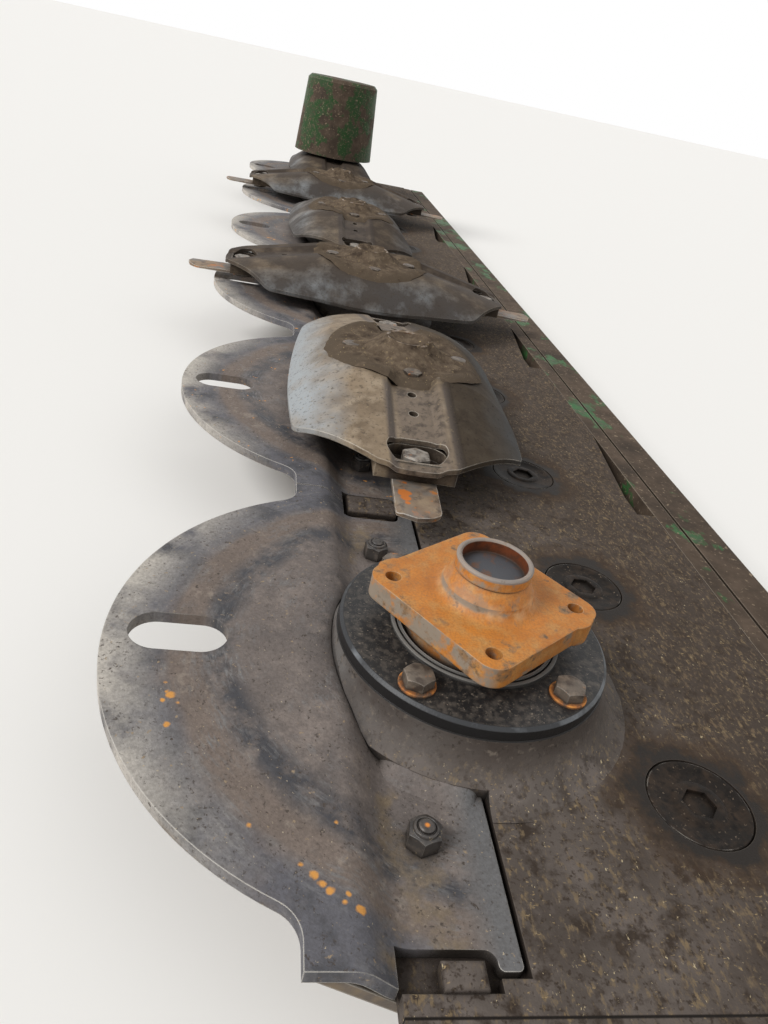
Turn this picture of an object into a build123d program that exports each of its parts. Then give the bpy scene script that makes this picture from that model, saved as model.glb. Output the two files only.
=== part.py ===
# Cutter bar of a disc mower: a flat gear case on six skid shoes, with six hubs along it.
# Five hubs carry an oval cutting disc with two swinging knives, the hub at the left end is bare,
# and the disc at the right end also carries a tapered crop drum.
# X runs along the bar towards its left end, -Y is the way of travel, Z is up.
# The origin is on the ground under the middle of the whole bar.
from build123d import *
from math import sqrt
import os

# Row of hubs
hub_count = 6
hub_pitch = 415.0
# hub number: turn of its square flange and its disc's long axis, in degrees from X
hub_turns = {1: -7.6, 2: -2.5, 3: 90.0, 4: 0.0, 5: 90.0, 6: 0.0}
# hub number: what it carries
hub_carries = {1: "nothing", 2: "disc", 3: "disc", 4: "disc", 5: "disc", 6: "disc and drum"}

# Heights, each built on the one below it
shoe_sheet = 7.0
case_depth = 72.0
guard_sheet = 7.0
guard_step = 16.0
quill_rise = 23.2
hub_gap = 0.3
hub_rise = 28.8
case_bottom = shoe_sheet
case_top = case_bottom + case_depth
# the guards' lower flanges lie in a ledge, flush with the case's top
ledge_top = case_top - guard_sheet
guard_top = case_top + guard_step
quill_top = guard_top + quill_rise
hub_top = quill_top + hub_rise

# Knives and their bolts
knife_pivot = 190.0
knife_length = 79.4
knife_tail = 20.0
knife_width = 40.0
knife_sheet = 4.0
knife_above_guard = 11.0
knife_bevel = 2.0
knife_bevel_slope = 3.0
knife_bevel_length = 46.0
knife_bevel_start = 0.3
# the tip's outline: trailing corner, point and the start and end of the rounded leading corner
knife_trail = 72.6
knife_trail_corner = 4.0
knife_point = -3.0
knife_lead_start = (77.5, 6.0)
knife_lead_middle = (73.0, 15.0)
knife_lead_end = 62.0
knife_bolt_r = 9.0
knife_bolt_fit = 0.1
knife_collar_r = 14.0
knife_collar = 4.0
knife_play = 0.3
knife_head_flats = 24.0
knife_head = 13.0
knife_head_chamfer = 1.5

# Discs
disc_sheet = 5.0
disc_nose = 216.0
disc_nose_half = 36.0
disc_nose_bow = 6.0
disc_side = 120.0
disc_lobe = 152.0
disc_lobe_side = 110.0
disc_lobe_corner = 22.0
disc_nose_corner = 16.0
pad_margin = 3.0
pad_skirt = 12.0
channel_half = 19.0
crest_inner = 26.0
crest_outer = 32.0
wing_mid = 84.0
wing_end = 128.0
floor_round = 4.0
crest_round = 2.0
nose_section = 222.0
# heights of the disc's top over the hub's seat: floor, crest, middle and end of the wing
middle_heights = (5.0, 13.0, -1.0, -48.0)
nose_heights = (-23.0, -20.0, -26.0, -36.0)
window_at = 188.0
window_long = 34.0
window_wide = 56.0
holder_at = 182.5
holder_wide = 74.0
holder_long = 49.0
holder_seat = 6.0
holder_into_sheet = 12.0
disc_bolt_r = 6.5
disc_bolt_circle = 59.0
small_hole_r = 4.5
small_holes = (98.0, 130.0)
neck_hole_gap = 1.5

# Hubs
hub_flange_half = 55.0
hub_flange_corner = 13.0
hub_flange = 14.0
# Two opposite corners are fattened by round lobes, turned a little off the corners
hub_lobe_r = 17.0
hub_lobe_out = 52.9
hub_lobe_turn = 85.0
hub_hole_r = 5.2
hub_base_r = 47.0
neck_root_r = 37.0
neck_foot_r = 29.0
neck_waist_r = 23.2
neck_r = 24.4
neck_height = 26.0
neck_collar = 8.0
neck_chamfer = 1.0
neck_bore_r = 21.0
neck_bore_depth = 9.0

# Quills
quill_flange_r = 88.0
quill_flange = 9.0
quill_edge = 2.0
boss_r = 88.8
boss_lip = 0.4
# Rings of the seal: inner radius, outer radius and height
seal_rings = [(50.0, 52.0, 2.5), (53.0, 55.5, 1.8)]

# Case, measured from the hub line: front is towards -Y
case_front = 66.0
case_back = 257.4
case_foot_front = -30.0
case_foot_back = 232.0
case_tail_drop = 47.0
case_overhang = 217.5
end_plate = 12.0
end_hole_middle = 110.0
end_hole_long = 180.0
end_hole_high = 36.0
end_hole_r = 6.5
# Idler plugs stand behind each hub, one towards each end of the bar
idler_left = 98.5
idler_right = 119.0
idler_back = 131.0
idler_recess_r = 33.0
idler_recess = 4.0
# Slanted notches in the case's rear edge, from each hub: where they start and end, and how deep
notch_start = 158.0
notch_flat = 124.0
notch_end = -36.0
notch_deep = 20.0
notch_down = 30.0

# Guards
guard_gap = 1.0
nose_inset = 9.0
guard_nose_ahead = 32.0
guard_plate = 8.0
guard_edge_ahead = 111.0
guard_edge_fillet = 20.0
guard_bend_ahead = 84.0
guard_bend_run = 19.0
guard_bend_round = 18.0
guard_bend_clear = 2.0
guard_rear = 7.0
guard_slit = 3.0
# The round opening for the quill, flattened at its front by a larger circle from behind the hub
guard_cut_r = 102.0
guard_cut_front_r = 150.0
guard_cut_behind = 60.3
guard_notch_inset = 19.0
guard_notch_front = 68.0
guard_notch_back = 19.0
guard_notch_fillet = 6.0
guard_finger_inset = 9.0
guard_finger_corner = 3.0
slot_front_inset = 14.0
slot_long = 61.0
slot_wide = 34.6

# Blocks between neighbouring guards, and a short one at each end of the bar
block_gap = 6.0
block_front = 64.0
block_back = 21.0
block_tongue = 14.0
end_block_front = 47.0
end_block_back = 26.0
block_high = 11.0
block_round = 3.0

# Skid shoes
shoe_inset = 2.0
shoe_front = 97.0
shoe_heel_back = 205.0
shoe_bend = 60.0

# Rear rail
rail_back = 324.0
rail_depth = 60.0
rail_wall = 6.0
rail_chamfer = 7.0
rail_seam = 20.0
rail_seam_wide = 3.0
rail_seam_deep = 2.0
rail_hole_r = 8.5
rail_hole_spacing = 120.0

# Drum
drum_base_r = 109.0
drum_top_r = 96.0
drum_height = 200.0
drum_wall = 4.0
drum_foot_r = 68.0
drum_foot = 9.0
drum_base = 5.0
drum_edge = 8.0

knife_reach = knife_pivot + knife_length
end_reach = case_overhang + end_plate
middle_x = (knife_reach - end_reach) / 2
hub_y = (knife_reach - rail_back) / 2
half_row = (hub_count - 1) * hub_pitch / 2
hub_x = {n: middle_x + half_row - (n - 1) * hub_pitch for n in range(1, hub_count + 1)}
case_half = half_row + case_overhang
discs_at = [n for n in hub_x if "disc" in hub_carries[n]]
drums_at = [n for n in hub_x if "drum" in hub_carries[n]]
guard_half = (hub_pitch - guard_gap) / 2
guard_nose_r = guard_half - nose_inset
guard_notch_half = guard_half - guard_notch_inset
guard_finger_half = guard_half - guard_finger_inset
ledge_back = guard_rear - guard_slit
slot_middle = guard_nose_ahead + guard_nose_r - slot_front_inset - slot_long / 2
hub_corner_r = sqrt(2) * (hub_flange_half - hub_flange_corner) + hub_flange_corner
pad_r = hub_corner_r + pad_margin
bar_z = Axis((0, 0, 0), (0, 0, 1))

os.makedirs("parts", exist_ok=True)


def save(part, name):
    part.label = name
    export_step(part, f"parts/{name}.step")


# The shoe's upper face runs straight from the case's foot up to the guard's nose plate
shoe_slope = (guard_top - guard_plate - case_bottom) / (shoe_front - case_foot_front)


def shoe_face(ahead):
    """Height of the shoe's upper face at a distance ahead of the hub line."""
    return case_bottom + shoe_slope * (ahead - case_foot_front)


# The case's section across the bar, with Y measured from the hub line: it rests on the shoe
case_section = [
    (-case_front, case_top),
    (-case_front, shoe_face(case_front)),
    (-case_foot_front, case_bottom),
    (case_foot_back, case_bottom),
    (case_back, case_top - case_tail_drop),
    (case_back, case_top),
]

with BuildPart() as case:
    with BuildSketch(Plane.YZ):
        Polygon(*case_section, align=None)
    extrude(amount=case_half, both=True)
    with BuildSketch(Plane.XY.offset(case_top)):
        with Locations((0, -ledge_back)):
            Rectangle(2 * half_row + hub_pitch, case_front - ledge_back, align=(Align.CENTER, Align.MAX))
        finger_end = half_row + guard_finger_half + guard_slit
        for side, edge in ((-1, Align.MAX), (1, Align.MIN)):
            with Locations((side * finger_end, -ledge_back)):
                Rectangle(hub_pitch / 2, guard_notch_back - ledge_back, align=(edge, Align.MAX),
                          mode=Mode.SUBTRACT)
    extrude(amount=-guard_sheet, mode=Mode.SUBTRACT)
    with BuildSketch(Plane.XY.offset(case_top)):
        with Locations([(hub_x[n] - middle_x + side, idler_back)
                        for n in hub_x for side in (idler_left, -idler_right)]):
            Circle(idler_recess_r)
    extrude(amount=-idler_recess, mode=Mode.SUBTRACT)
    with BuildSketch(Plane.XY.offset(case_top)):
        with Locations([(hub_x[n] - middle_x, case_back) for n in hub_x]):
            Polygon((notch_start, 1), (notch_start, -notch_deep), (notch_flat, -notch_deep), (notch_end, 0),
                    (notch_end, 1), align=None)
    extrude(amount=-notch_down, mode=Mode.SUBTRACT)
save(case.part.moved(Location((middle_x, hub_y, 0))), "case")

with BuildPart() as plate:
    with BuildSketch(Plane.YZ):
        Polygon(*case_section, align=None)
    extrude(amount=end_plate)
    with BuildSketch(Plane.YZ):
        with Locations((end_hole_middle, case_top - case_depth / 2)):
            with GridLocations(end_hole_long, end_hole_high, 2, 2):
                Circle(end_hole_r)
    extrude(amount=end_plate, mode=Mode.SUBTRACT)
save(plate.part.moved(Location((middle_x + case_half, hub_y, 0))), "end_plate_left")
save(plate.part.moved(Location((middle_x - case_half - end_plate, hub_y, 0))), "end_plate_right")

with BuildPart() as rail:
    with BuildSketch(Plane.YZ.offset(middle_x)) as section:
        with Locations((hub_y + (case_back + rail_back) / 2, case_top - rail_depth / 2)):
            Rectangle(rail_back - case_back, rail_depth)
        chamfer(section.vertices().sort_by(Axis.Y)[-2:].sort_by(Axis.X)[-1], rail_chamfer)
        with Locations((hub_y + (case_back + rail_back) / 2, case_top - rail_depth / 2)):
            Rectangle(rail_back - case_back - 2 * rail_wall, rail_depth - 2 * rail_wall, mode=Mode.SUBTRACT)
        with Locations((hub_y + case_back + rail_seam, case_top)):
            Rectangle(rail_seam_wide, 2 * rail_seam_deep, mode=Mode.SUBTRACT)
    extrude(amount=case_half, both=True)
    with BuildSketch(Plane.XZ.offset(-hub_y - rail_back)):
        with Locations([(middle_x + at + side * rail_hole_spacing / 2, case_top - rail_depth / 2)
                        for at in (-half_row, 0, half_row) for side in (-1, 1)]):
            Circle(rail_hole_r)
    extrude(amount=rail_wall, mode=Mode.SUBTRACT)
save(rail.part, "rear_rail")


def cut_plan(gap):
    """Plan of the guard's round opening, drawn in all round by a gap."""
    with BuildSketch() as plan:
        Circle(guard_cut_r - gap)
        with Locations((0, guard_cut_behind)):
            Circle(guard_cut_front_r - gap, mode=Mode.INTERSECT)
    return plan.sketch


guard_reach = guard_nose_ahead + guard_nose_r + 1
with BuildPart() as guard:
    with BuildSketch(Plane.YZ) as section:
        with BuildLine():
            Polyline(
                (-guard_reach, guard_top),
                (-guard_bend_ahead, guard_top),
                (-guard_bend_ahead + guard_bend_run, case_top),
                (0, case_top),
                (0, ledge_top),
                (-case_front - guard_bend_clear, ledge_top),
                (-case_front - guard_bend_clear - guard_bend_run, guard_top - guard_plate),
                (-guard_reach, guard_top - guard_plate),
                close=True,
            )
        make_face()
        fillet([v for v in section.vertices() if -guard_reach + 1 < v.X < -1], guard_bend_round)
    extrude(amount=guard_half, both=True)
    with BuildSketch(Plane.XY.offset(ledge_top)) as plan:
        with Locations((0, -guard_nose_ahead)):
            Circle(guard_nose_r)
        with Locations((0, -guard_rear)):
            Rectangle(2 * guard_nose_r, guard_nose_r, align=(Align.CENTER, Align.MIN), mode=Mode.SUBTRACT)
            Rectangle(2 * guard_half, guard_edge_ahead - guard_rear, align=(Align.CENTER, Align.MAX))
        inner = [v for v in plan.vertices()
                 if abs(v.Y + guard_edge_ahead) < 0.01 and abs(v.X) < guard_half - 1]
        fillet(inner, guard_edge_fillet)
        for side in (-1, 1):
            with Locations((side * guard_half, -guard_notch_back)):
                Rectangle(2 * guard_notch_inset, guard_notch_front - guard_notch_back,
                          align=(Align.CENTER, Align.MAX), mode=Mode.SUBTRACT)
            with Locations((side * guard_half, 0)):
                Rectangle(2 * guard_finger_inset, guard_notch_back, align=(Align.CENTER, Align.MAX),
                          mode=Mode.SUBTRACT)
        notch_corners = [v for v in plan.vertices()
                         if abs(v.Y + guard_notch_back) < 0.01 and abs(abs(v.X) - guard_notch_half) < 0.01]
        fillet(notch_corners, guard_notch_fillet)
        fillet([v for v in plan.vertices() if abs(abs(v.X) - guard_finger_half) < 0.01], guard_finger_corner)
        add(cut_plan(0), mode=Mode.SUBTRACT)
        with Locations((0, -slot_middle)):
            SlotOverall(slot_long, slot_wide, rotation=90, mode=Mode.SUBTRACT)
    extrude(amount=guard_top - ledge_top, mode=Mode.INTERSECT)
for n, x in hub_x.items():
    save(guard.part.moved(Location((x, hub_y, 0))), f"guard_{n}")

block_half = hub_pitch / 2 - guard_notch_half - block_gap
with BuildPart() as blocks:
    with BuildSketch(Plane.XY.offset(ledge_top)):
        for seam in [half_row - (n + 0.5) * hub_pitch for n in range(hub_count - 1)]:
            with Locations((seam, -block_back)):
                Rectangle(2 * block_half, block_front - block_back, align=(Align.CENTER, Align.MAX))
            with Locations((seam, -ledge_back)):
                Rectangle(block_tongue, block_back - ledge_back, align=(Align.CENTER, Align.MAX))
        for side, edge in ((-1, Align.MIN), (1, Align.MAX)):
            with Locations((side * (half_row + hub_pitch / 2), -end_block_back)):
                Rectangle(block_half, end_block_front - end_block_back, align=(edge, Align.MAX))
    extrude(amount=block_high)
    fillet(blocks.edges().group_by(Axis.Z)[-1], block_round)
save(blocks.part.moved(Location((middle_x, hub_y, 0))), "guard_blocks")

with BuildPart() as shoe:
    with BuildSketch(Plane.YZ) as section:
        with BuildLine():
            Polyline(
                (-shoe_front, guard_top - guard_plate),
                (-case_foot_front, case_bottom),
                (shoe_heel_back, case_bottom),
                (shoe_heel_back, 0),
                (-case_foot_front + shoe_sheet * shoe_slope / 2, 0),
                (-shoe_front - shoe_sheet * sqrt(1 + 1 / shoe_slope ** 2), guard_top - guard_plate),
                close=True,
            )
        make_face()
        fillet(section.vertices().sort_by(Axis.Y)[:2].sort_by(Axis.X)[0], shoe_bend)
    extrude(amount=guard_half - shoe_inset, both=True)
for n, x in hub_x.items():
    save(shoe.part.moved(Location((x, hub_y, 0))), f"skid_shoe_{n}")

quill_under = quill_top - quill_flange
flare_r = quill_under - case_top - boss_lip
foot_r = boss_r + flare_r
with BuildPart() as quill:
    with BuildSketch(Plane.XZ):
        with BuildLine():
            Polyline((foot_r, case_top + boss_lip), (foot_r, ledge_top), (0, ledge_top), (0, quill_top),
                     (quill_flange_r - quill_edge, quill_top), (quill_flange_r, quill_top - quill_edge),
                     (quill_flange_r, quill_under), (boss_r, quill_under))
            RadiusArc((boss_r, quill_under), (foot_r, case_top + boss_lip), -flare_r)
        make_face()
    revolve(axis=bar_z)
    for inner_r, outer_r, high in seal_rings:
        with BuildSketch(Plane.XY.offset(quill_top)):
            Circle(outer_r)
            Circle(inner_r, mode=Mode.SUBTRACT)
        extrude(amount=high)
    with BuildSketch(Plane.XY.offset(ledge_top)):
        with Locations((0, -ledge_back)):
            Rectangle(2 * foot_r, 2 * foot_r, align=(Align.CENTER, Align.MIN))
    extrude(amount=case_top - ledge_top, mode=Mode.SUBTRACT)
    with BuildSketch(Plane.XY.offset(ledge_top)):
        with Locations((0, -ledge_back)):
            Rectangle(2 * foot_r, 2 * foot_r, align=(Align.CENTER, Align.MAX))
        add(cut_plan(hub_gap), mode=Mode.SUBTRACT)
    extrude(amount=quill_under - ledge_top, mode=Mode.SUBTRACT)
    with BuildSketch(Plane.YZ):
        Polygon((-case_front, shoe_face(case_front) + hub_gap),
                (-shoe_front, shoe_face(shoe_front) + hub_gap),
                (-shoe_front, 0), (-case_front, 0), align=None)
    extrude(amount=quill_flange_r, both=True, mode=Mode.SUBTRACT)
for n, x in hub_x.items():
    save(quill.part.moved(Location((x, hub_y, 0))), f"quill_{n}")

neck_top = hub_top + neck_height
neck_fillet = neck_root_r - neck_foot_r
with BuildPart() as hub:
    with BuildSketch(Plane.XY.offset(hub_top - hub_flange)):
        RectangleRounded(2 * hub_flange_half, 2 * hub_flange_half, hub_flange_corner, rotation=45)
        with PolarLocations(hub_lobe_out, 2, start_angle=hub_lobe_turn):
            Circle(hub_lobe_r)
    extrude(amount=hub_flange)
    with BuildSketch(Plane.XY.offset(quill_top + hub_gap)):
        Circle(hub_base_r)
    extrude(until=Until.NEXT)
    with BuildSketch(Plane.XZ):
        with BuildLine():
            Polyline((neck_root_r, hub_top), (0, hub_top), (0, neck_top), (neck_r - neck_chamfer, neck_top),
                     (neck_r, neck_top - neck_chamfer), (neck_r, neck_top - neck_collar),
                     (neck_waist_r, neck_top - neck_collar), (neck_foot_r, hub_top + neck_fillet))
            RadiusArc((neck_foot_r, hub_top + neck_fillet), (neck_root_r, hub_top), -neck_fillet)
        make_face()
    revolve(axis=bar_z)
    with Locations((0, 0, neck_top)):
        Hole(neck_bore_r, neck_bore_depth)
    chamfer(hub.edges().group_by(Axis.Z)[-1].sort_by(SortBy.LENGTH)[0], neck_chamfer)
    with BuildSketch(Plane.XY.offset(hub_top)):
        with PolarLocations(disc_bolt_circle, 4):
            Circle(hub_hole_r)
    extrude(amount=-hub_flange, mode=Mode.SUBTRACT)
for n, x in hub_x.items():
    save(hub.part.moved(Location((x, hub_y, 0), (0, 0, hub_turns[n]))), f"hub_{n}")


def wing_section(along, heights, lower):
    """Section across a disc's form, down to the ground: channel floor, two crests and two wings."""
    floor, crest, wing, end = (hub_top - lower + h for h in heights)
    with BuildSketch(Plane.YZ.offset(along)) as section:
        with BuildLine():
            Polyline((-crest_outer, crest), (-crest_inner, crest), (-channel_half, floor),
                     (channel_half, floor), (crest_inner, crest), (crest_outer, crest))
            ThreePointArc((crest_outer, crest), (wing_mid, wing), (wing_end, end))
            Polyline((wing_end, end), (wing_end, 0), (-wing_end, 0), (-wing_end, end))
            ThreePointArc((-wing_end, end), (-wing_mid, wing), (-crest_outer, crest))
        make_face()
        fillet([v for v in section.vertices() if abs(abs(v.X) - crest_inner) < 0.01], crest_round)
        fillet([v for v in section.vertices() if abs(abs(v.X) - channel_half) < 0.01], floor_round)
    return section.sketch


def disc_form(lower, pad_top):
    """Solid under a disc's upper or lower face, with the round pad that the hub's flange fits."""
    with BuildPart() as form:
        add(wing_section(-pad_r, middle_heights, lower))
        extrude(amount=2 * pad_r, dir=(1, 0, 0))
        for side in (-1, 1):
            loft([wing_section(side * pad_r, middle_heights, lower).face(),
                  wing_section(side * nose_section, nose_heights, lower).face()], ruled=True)
        with BuildSketch(Plane.XY.offset(pad_top - pad_skirt)):
            Circle(pad_r + pad_skirt)
        extrude(amount=pad_skirt, taper=45)
        with BuildSketch(Plane.XY.offset(pad_top)):
            Circle(pad_r)
        extrude(amount=hub_top, mode=Mode.SUBTRACT)
    return form.part


knife_top = guard_top + knife_above_guard + knife_sheet
holder_under = knife_top + knife_play
nose_end = disc_nose - disc_nose_bow
with BuildPart() as disc:
    add(disc_form(0, hub_top + disc_sheet))
    add(disc_form(disc_sheet, hub_top), mode=Mode.SUBTRACT)
    with BuildSketch(Plane.XY.offset(holder_under)):
        with Locations((-holder_at, 0), (holder_at, 0)):
            Rectangle(holder_long, holder_wide)
    extrude(amount=holder_seat + holder_into_sheet)
    with BuildSketch(Plane.XY.offset(holder_under + holder_seat)):
        with Locations((-window_at, 0), (window_at, 0)):
            SlotOverall(window_wide, window_long, rotation=90)
    extrude(amount=hub_top, mode=Mode.SUBTRACT)
    with BuildSketch(Plane.XY.offset(holder_under)):
        with Locations((-knife_pivot, 0), (knife_pivot, 0)):
            Circle(knife_bolt_r + knife_bolt_fit)
    extrude(amount=holder_seat, mode=Mode.SUBTRACT)
    with BuildSketch(Plane.XY.offset(hub_top - disc_sheet)):
        with PolarLocations(disc_bolt_circle, 4):
            Circle(disc_bolt_r)
        with Locations([(side * at, 0) for side in (-1, 1) for at in small_holes]):
            Circle(small_hole_r)
        Circle(neck_root_r + neck_hole_gap)
    extrude(amount=-hub_top, both=True, mode=Mode.SUBTRACT)
    with BuildSketch() as outline:
        with BuildLine():
            ThreePointArc((disc_lobe, -disc_lobe_side), (0, -disc_side), (-disc_lobe, -disc_lobe_side))
            Line((-disc_lobe, -disc_lobe_side), (-nose_end, -disc_nose_half))
            ThreePointArc((-nose_end, -disc_nose_half), (-disc_nose, 0), (-nose_end, disc_nose_half))
            Line((-nose_end, disc_nose_half), (-disc_lobe, disc_lobe_side))
            ThreePointArc((-disc_lobe, disc_lobe_side), (0, disc_side), (disc_lobe, disc_lobe_side))
            Line((disc_lobe, disc_lobe_side), (nose_end, disc_nose_half))
            ThreePointArc((nose_end, disc_nose_half), (disc_nose, 0), (nose_end, -disc_nose_half))
            Line((nose_end, -disc_nose_half), (disc_lobe, -disc_lobe_side))
        make_face()
        fillet([v for v in outline.vertices() if abs(v.X) < disc_lobe + 1], disc_lobe_corner)
        fillet([v for v in outline.vertices() if abs(v.X) > nose_end - 1], disc_nose_corner)
    extrude(amount=2 * hub_top, mode=Mode.INTERSECT)
for n in discs_at:
    save(disc.part.moved(Location((hub_x[n], hub_y, 0), (0, 0, hub_turns[n]))), f"disc_{n}")

knife_low = guard_top + knife_above_guard
knife_half = knife_width / 2
with BuildPart() as knife:
    with BuildSketch(Plane.XY.offset(knife_low)) as blade:
        with BuildLine():
            Polyline((0, -knife_half), (knife_trail, -knife_half), (knife_length, knife_point),
                     knife_lead_start)
            ThreePointArc(knife_lead_start, knife_lead_middle, (knife_lead_end, knife_half))
            Line((knife_lead_end, knife_half), (0, knife_half))
            ThreePointArc((0, knife_half), (-knife_tail, 0), (0, -knife_half))
        make_face()
        fillet([v for v in blade.vertices() if abs(v.X - knife_trail) < 0.01], knife_trail_corner)
        Circle(knife_bolt_r + knife_bolt_fit, mode=Mode.SUBTRACT)
    extrude(amount=knife_sheet)
    # each bevel widens from nothing at its start to its full size at the tip
    for side in (-1, 1):
        ends = []
        for along, deep in ((knife_length - knife_bevel_length, knife_bevel_start),
                            (knife_length, knife_bevel)):
            with BuildSketch(Plane.YZ.offset(along)) as bevel:
                Polygon((side * knife_half, knife_top),
                        (side * (knife_half - knife_bevel_slope * deep), knife_top),
                        (side * knife_half, knife_top - deep), align=None)
            ends.append(bevel.sketch.face())
        loft(ends, ruled=True, mode=Mode.SUBTRACT)

with BuildPart() as knife_bolt:
    with BuildSketch(Plane.XY.offset(holder_under + holder_seat)):
        RegularPolygon(knife_head_flats / 2, 6, major_radius=False)
    extrude(amount=knife_head)
    with BuildSketch(Plane.XY.offset(knife_low - knife_play)):
        Circle(knife_bolt_r)
    extrude(amount=holder_under + holder_seat - knife_low + knife_play)
    with BuildSketch(Plane.XY.offset(knife_low - knife_play)):
        Circle(knife_collar_r)
    extrude(amount=-knife_collar)
    chamfer(knife_bolt.faces().sort_by(Axis.Z)[-1].edges(), knife_head_chamfer)

for n in discs_at:
    bolts = []
    for letter, turn in (("a", hub_turns[n]), ("b", hub_turns[n] + 180)):
        place = Location((hub_x[n], hub_y, 0), (0, 0, turn)) * Location((knife_pivot, 0, 0))
        save(knife.part.moved(place), f"knife_{n}{letter}")
        bolts.append(knife_bolt.part.moved(place))
    save(Compound(bolts), f"knife_bolts_{n}")

foot_z = hub_top + disc_sheet
drum_top = foot_z + drum_height
with BuildPart() as drum:
    with BuildSketch(Plane.XZ):
        with BuildLine():
            Polyline((neck_root_r + neck_hole_gap, foot_z), (drum_foot_r, foot_z),
                     (drum_foot_r, foot_z + drum_foot), (drum_base_r, foot_z + drum_foot),
                     (drum_top_r, drum_top - drum_edge),
                     (drum_top_r - drum_edge, drum_top), (0, drum_top), (0, drum_top - drum_wall),
                     (drum_top_r - drum_edge - drum_wall / 2, drum_top - drum_wall),
                     (drum_top_r - drum_wall, drum_top - drum_edge - drum_wall / 2),
                     (drum_base_r - drum_wall, foot_z + drum_foot + drum_base),
                     (neck_root_r + neck_hole_gap, foot_z + drum_foot + drum_base), close=True)
        make_face()
    revolve(axis=bar_z)
for n in drums_at:
    save(drum.part.moved(Location((hub_x[n], hub_y, 0))), f"drum_{n}")
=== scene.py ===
"""Looks of a disc mower's cutter bar: finishes, fasteners, plugs, caked dirt and the stage."""
import math

import bmesh
import bpy
from bpy.props import FloatProperty, FloatVectorProperty, PointerProperty
from mathutils import Matrix, Vector, noise


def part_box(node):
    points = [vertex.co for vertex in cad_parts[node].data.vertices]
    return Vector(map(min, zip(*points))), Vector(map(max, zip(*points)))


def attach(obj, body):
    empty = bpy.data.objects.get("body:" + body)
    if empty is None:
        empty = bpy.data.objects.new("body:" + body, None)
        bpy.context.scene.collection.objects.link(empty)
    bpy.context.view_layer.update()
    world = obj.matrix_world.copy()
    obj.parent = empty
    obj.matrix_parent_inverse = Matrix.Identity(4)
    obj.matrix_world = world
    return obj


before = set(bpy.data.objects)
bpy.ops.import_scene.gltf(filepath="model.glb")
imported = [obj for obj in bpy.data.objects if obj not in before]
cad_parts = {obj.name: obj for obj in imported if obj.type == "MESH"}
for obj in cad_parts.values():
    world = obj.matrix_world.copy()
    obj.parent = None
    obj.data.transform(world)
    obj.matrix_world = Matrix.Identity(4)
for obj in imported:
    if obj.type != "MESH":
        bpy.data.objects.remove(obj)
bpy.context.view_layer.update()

bl_info = {
    "name": "Disc Mower Cutter Bar Looks",
    "version": (1, 0, 0),
    "blender": (4, 5, 0),
    "location": "View3D > Sidebar > Cutter Bar",
    "description": "Dresses the cutter bar of a disc mower with its finishes, fasteners and dirt",
    "category": "Object",
}

mm = 0.001

# Places on the bar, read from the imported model
hub_count = sum(name.startswith("hub_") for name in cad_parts)
hub_numbers = range(1, hub_count + 1)
disc_numbers = [n for n in hub_numbers if f"disc_{n}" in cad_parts]
hub_box = {n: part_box(f"hub_{n}") for n in hub_numbers}
hub_at = {n: (low + high) / 2 for n, (low, high) in hub_box.items()}
hub_pitch = hub_at[1].x - hub_at[2].x
hub_y = hub_at[1].y
case_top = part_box("case")[1].z
row_middle = (hub_at[1].x + hub_at[hub_count].x) / 2
plate_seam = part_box("case")[1].x - row_middle
guard_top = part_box("guard_1")[1].z
neck_top = hub_box[1][1].z

# Real heights and radii that the boxes don't give
seal_height = 2.5 * mm
quill_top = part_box("quill_1")[1].z - seal_height
flange_r = 88 * mm
neck_height = 26 * mm
bore_r = 21 * mm
hub_seat = neck_top - neck_height
disc_sheet = 5 * mm
guard_step = 16 * mm
flange_top = guard_top - guard_step
guard_nose_r = 198 * mm
guard_nose_ahead = 32 * mm
guard_nut_along = 132 * mm
guard_nut_ahead = 46 * mm
streak_r = 40 * mm
idler_sides = (98.5 * mm, -119 * mm)
idler_back = 131 * mm
idler_recess = 4 * mm

# A disc's top, in millimetres from its middle: the pad round the hub, the channel between two crests,
# and wings that bulge past the crests and then fall
pad_r = 80
channel_half = 19
crest_inner = 26
crest_outer = 32
crest_rise = 8
wing_bulge = 0.1635
wing_fall = 0.00832
end_fall = 0.21

# Rust spots on the first guard and on the knife beside it: along the bar and ahead of the first hub, and
# radius, in millimetres
GUARD_RUST = [(54.8, 184, 3.1), (52.3, 186, 1.7), (59, 187, 0.9), (60, 178.5, 0.8), (45, 187, 0.9),
              (77, 183, 1.2), (137, 136, 0.7), (134, 93.6, 0.8), (163.5, 105, 2.2), (167, 102, 2.3),
              (170.5, 98.5, 1.7), (158, 112, 0.6), (176, 92, 0.7), (172, 90, 0.6), (178.7, 84.3, 2.1)]
KNIFE_RUST = [(-186, 21, 6.0), (-178, 20.5, 4.5), (-169, 20, 2.6), (-205, 18, 2.2)]

MATH = "ShaderNodeMath"
VECTOR = "ShaderNodeVectorMath"
RANGE = "ShaderNodeMapRange"
NOISE = "ShaderNodeTexNoise"


def linear(hex_colour):
    """sRGB hex as the linear colour that Blender's shaders take."""
    levels = [int(hex_colour[i:i + 2], 16) / 255 for i in (0, 2, 4)]
    return [c / 12.92 if c <= 0.04045 else ((c + 0.055) / 1.055) ** 2.4 for c in levels] + [1.0]


def add(tree, kind, *values, out=None, **named):
    """Adds a node: lower-case names are its settings, values and capitalised names fill its inputs."""
    node = tree.nodes.new(kind)
    for name, value in named.items():
        if name[0].islower():
            setattr(node, name, value)
    sockets = [s for s in node.inputs if not s.is_unavailable]
    given = list(zip(sockets, values))
    for name, value in named.items():
        if not name[0].islower():
            given.append((next(s for s in sockets if s.name == name.replace("_", " ")), value))
    for socket, value in given:
        if isinstance(value, bpy.types.NodeSocket):
            tree.links.new(value, socket)
        elif value is not None:
            socket.default_value = value
    outputs = [s for s in node.outputs if not s.is_unavailable]
    return next(s for s in outputs if out in (None, s.name))


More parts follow.
